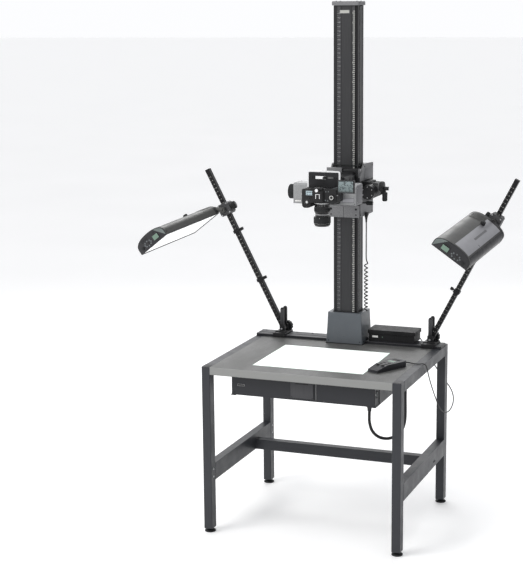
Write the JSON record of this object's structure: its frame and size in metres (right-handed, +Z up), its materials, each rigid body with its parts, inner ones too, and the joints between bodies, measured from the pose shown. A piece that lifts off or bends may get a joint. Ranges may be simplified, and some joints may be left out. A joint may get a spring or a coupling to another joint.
{
  "type": "book scanner",
  "caption": "Overhead book scanner: camera on a geared column above a table with a light panel, and two tilting lamps on swinging arms.",
  "frame": {"origin": "middle of the whole machine's footprint box, without the free cords, on the floor", "axes": "+Z up the column, +Y from the front of the table to the column, +X to the operator's right"},
  "size_m": [1.692, 0.8511, 2.386],
  "materials": {
    "frame_paint": "satin powder coat",
    "table_paint": "fine textured powder coat",
    "opal_glass": "white opal",
    "box_paint": "satin powder coat",
    "lamp_glass": "frosted",
    "anodised": "dark anodised",
    "cast_grey": "textured grey lacquer",
    "steel": "machined",
    "cover_paint": "satin blue grey lacquer",
    "black_plastic": "satin black",
    "foot_rubber": "matt",
    "lamp_shell": "metallic grey lacquer",
    "lamp_opal": "white opal",
    "button_grey": "matt grey",
    "cord_sheath": "satin black sheath"
  },
  "bodies": {
    "stand": {"legs": "frame_paint", "frame_rails": "frame_paint", "table_top": "table_paint", "glass_panel": "opal_glass", "lightbox_housing": "box_paint", "lightbox_fittings": "box_paint", "backlight_tubes": "lamp_glass", "rear_rails": "anodised", "column": "anodised", "column_cap": "cast_grey", "column_rack": "steel", "column_base_plate": "steel", "column_base_cover": "cover_paint", "control_unit": "box_paint", "handset": "black_plastic", "column_lead": "cord_sheath", "column_coil": "cord_sheath", "lightbox_cable": "cord_sheath", "handset_cord": "cord_sheath"},
    "carriage": {"carriage_plates": "cast_grey", "carriage_housing": "cast_grey", "guide_pads": "black_plastic", "drive_housing": "cast_grey", "lead_gland": "black_plastic", "camera_arm": "cast_grey", "head_box": "cast_grey"},
    "camera": {"camera_plate": "anodised", "camera_body": "black_plastic", "lens_barrel": "black_plastic"},
    "foot_front_left": {"foot_front_left": "foot_rubber"},
    "foot_front_right": {"foot_front_right": "foot_rubber"},
    "foot_rear_left": {"foot_rear_left": "foot_rubber"},
    "foot_rear_right": {"foot_rear_right": "foot_rubber"},
    "power_rocker": {"power_rocker": "black_plastic"},
    "handset_buttons": {"handset_buttons": "black_plastic"},
    "crank": {"crank": "black_plastic"},
    "lock_knob": {"lock_knob": "black_plastic"},
    "focus_knob": {"focus_knob": "black_plastic"},
    "camera_display": {"camera_display": "black_plastic"},
    "shutter_button": {"shutter_button": "black_plastic"},
    "mode_dial": {"mode_dial": "black_plastic"},
    "focus_ring": {"focus_ring": "foot_rubber"},
    "rail_clamp_left": {"rail_clamp_left": "anodised"},
    "pivot_knob_left": {"pivot_knob_left": "black_plastic"},
    "arm_left": {"lamp_arm_left": "anodised"},
    "arm_clamp_left": {"arm_clamp_left": "cast_grey"},
    "clamp_knob_left": {"clamp_knob_left": "black_plastic"},
    "lamp_left": {"lamp_housing_left": "lamp_shell", "lamp_diffuser_left": "lamp_opal", "lamp_tubes_left": "lamp_glass"},
    "lamp_buttons_left": {"lamp_buttons_left": "button_grey"},
    "rail_clamp_right": {"rail_clamp_right": "anodised"},
    "pivot_knob_right": {"pivot_knob_right": "black_plastic"},
    "arm_right": {"lamp_arm_right": "anodised"},
    "arm_clamp_right": {"arm_clamp_right": "cast_grey"},
    "clamp_knob_right": {"clamp_knob_right": "black_plastic"},
    "lamp_right": {"lamp_housing_right": "lamp_shell", "lamp_diffuser_right": "lamp_opal", "lamp_tubes_right": "lamp_glass"},
    "lamp_buttons_right": {"lamp_buttons_right": "button_grey"}
  },
  "joints": [
    {"name": "carriage_slide", "type": "slide", "parent": "stand", "child": "carriage", "axis": [0, 0, 1], "range_m": [-0.2, 0.69], "deforming": ["column_coil", "column_lead"]},
    {"name": "crank_turn", "type": "hinge", "parent": "carriage", "child": "crank", "pos_m": [0.20175, 0.283, 1.53], "axis": [1, 0, 0], "range_deg": [-720, 2475]},
    {"name": "lock_knob_turn", "type": "hinge", "parent": "carriage", "child": "lock_knob", "pos_m": [0.16175, 0.233, 1.459], "axis": [1, 0, 0], "range_deg": [-90, 90]},
    {"name": "camera_focus_slide", "type": "slide", "parent": "carriage", "child": "camera", "axis": [0, 0, 1], "range_m": [-0.035, 0.04]},
    {"name": "focus_knob_turn", "type": "hinge", "parent": "carriage", "child": "focus_knob", "pos_m": [-0.13125, -0.002, 1.533], "axis": [1, 0, 0], "range_deg": [-290, 290]},
    {"name": "lens_focus_turn", "type": "hinge", "parent": "camera", "child": "focus_ring", "pos_m": [0.04275, -0.101, 1.422], "axis": [0, 0, 1], "range_deg": [-75, 75]},
    {"name": "shutter_press", "type": "slide", "parent": "camera", "child": "shutter_button", "axis": [0, 1, 0], "range_m": [0, 0.0018], "stiffness_N_per_m": 900, "springref_m": -0.0005},
    {"name": "mode_dial_turn", "type": "hinge", "parent": "camera", "child": "mode_dial", "pos_m": [0.10575, -0.156, 1.531], "axis": [0, 1, 0], "continuous": true},
    {"name": "display_tilt", "type": "hinge", "parent": "camera", "child": "camera_display", "pos_m": [0.12975, -0.138, 1.56], "axis": [1, 0, 0], "range_deg": [-80, 60]},
    {"name": "handset_buttons_press", "type": "slide", "parent": "stand", "child": "handset_buttons", "axis": [0, 0, -1], "range_m": [0, 0.0015], "stiffness_N_per_m": 1200, "springref_m": -0.0005},
    {"name": "power_rocker_tilt", "type": "hinge", "parent": "stand", "child": "power_rocker", "pos_m": [0.37675, -0.352, 0.706], "axis": [0, 1, 0], "range_deg": [-14, 0]},
    {"name": "foot_front_left_turn", "type": "hinge", "parent": "stand", "child": "foot_front_left", "pos_m": [-0.40325, -0.392, 0.005], "axis": [0, 0, 1], "continuous": true},
    {"name": "foot_front_right_turn", "type": "hinge", "parent": "stand", "child": "foot_front_right", "pos_m": [0.48675, -0.392, 0.005], "axis": [0, 0, 1], "continuous": true},
    {"name": "foot_rear_left_turn", "type": "hinge", "parent": "stand", "child": "foot_rear_left", "pos_m": [-0.40325, 0.358, 0.005], "axis": [0, 0, 1], "continuous": true},
    {"name": "foot_rear_right_turn", "type": "hinge", "parent": "stand", "child": "foot_rear_right", "pos_m": [0.48675, 0.358, 0.005], "axis": [0, 0, 1], "continuous": true},
    {"name": "rail_slide_left", "type": "slide", "parent": "stand", "child": "rail_clamp_left", "axis": [1, 0, 0], "range_m": [-0.08, 0.2]},
    {"name": "pivot_knob_turn_left", "type": "hinge", "parent": "rail_clamp_left", "child": "pivot_knob_left", "pos_m": [-0.30025, 0.363, 0.815], "axis": [0, 1, 0], "range_deg": [-180, 180]},
    {"name": "arm_swing_left", "type": "hinge", "parent": "rail_clamp_left", "child": "arm_left", "pos_m": [-0.30025, 0.313, 0.815], "axis": [0, 1, 0], "range_deg": [-35, 15]},
    {"name": "arm_clamp_slide_left", "type": "slide", "parent": "arm_left", "child": "arm_clamp_left", "axis": [-0.4563, 0, 0.8898], "range_m": [-0.08, 0.15]},
    {"name": "clamp_knob_turn_left", "type": "hinge", "parent": "arm_clamp_left", "child": "clamp_knob_left", "pos_m": [-0.5568, 0.313, 1.41168], "axis": [0.8898, 0, 0.4563], "range_deg": [-180, 180]},
    {"name": "lamp_tilt_left", "type": "hinge", "parent": "arm_clamp_left", "child": "lamp_left", "pos_m": [-0.59595, 0.273, 1.3916], "axis": [0, 1, 0], "range_deg": [-30, 35]},
    {"name": "lamp_buttons_press_left", "type": "slide", "parent": "lamp_left", "child": "lamp_buttons_left", "axis": [0.159, 0.9831, 0.0908], "range_m": [0, 0.0015], "stiffness_N_per_m": 900, "springref_m": -0.0005},
    {"name": "rail_slide_right", "type": "slide", "parent": "stand", "child": "rail_clamp_right", "axis": [1, 0, 0], "range_m": [-0.03, 0.022]},
    {"name": "pivot_knob_turn_right", "type": "hinge", "parent": "rail_clamp_right", "child": "pivot_knob_right", "pos_m": [0.44375, 0.363, 0.815], "axis": [0, 1, 0], "range_deg": [-180, 180]},
    {"name": "arm_swing_right", "type": "hinge", "parent": "rail_clamp_right", "child": "arm_right", "pos_m": [0.44375, 0.313, 0.815], "axis": [0, 1, 0], "range_deg": [-15, 35]},
    {"name": "arm_clamp_slide_right", "type": "slide", "parent": "arm_right", "child": "arm_clamp_right", "axis": [0.4563, 0, 0.8898], "range_m": [-0.08, 0.15]},
    {"name": "clamp_knob_turn_right", "type": "hinge", "parent": "arm_clamp_right", "child": "clamp_knob_right", "pos_m": [0.7003, 0.313, 1.41168], "axis": [-0.8898, 0, 0.4563], "range_deg": [-180, 180]},
    {"name": "lamp_tilt_right", "type": "hinge", "parent": "arm_clamp_right", "child": "lamp_right", "pos_m": [0.73945, 0.273, 1.3916], "axis": [0, 1, 0], "range_deg": [-35, 30]},
    {"name": "lamp_buttons_press_right", "type": "slide", "parent": "lamp_right", "child": "lamp_buttons_right", "axis": [0.1069, 0.9868, 0.1215], "range_m": [0, 0.0015], "stiffness_N_per_m": 900, "springref_m": -0.0005}
  ],
  "couplings": [
    {"joint": "crank_turn", "follows": "carriage_slide", "rad_per_m": 62.5},
    {"joint": "focus_knob_turn", "follows": "camera_focus_slide", "rad_per_m": 125}
  ]
}
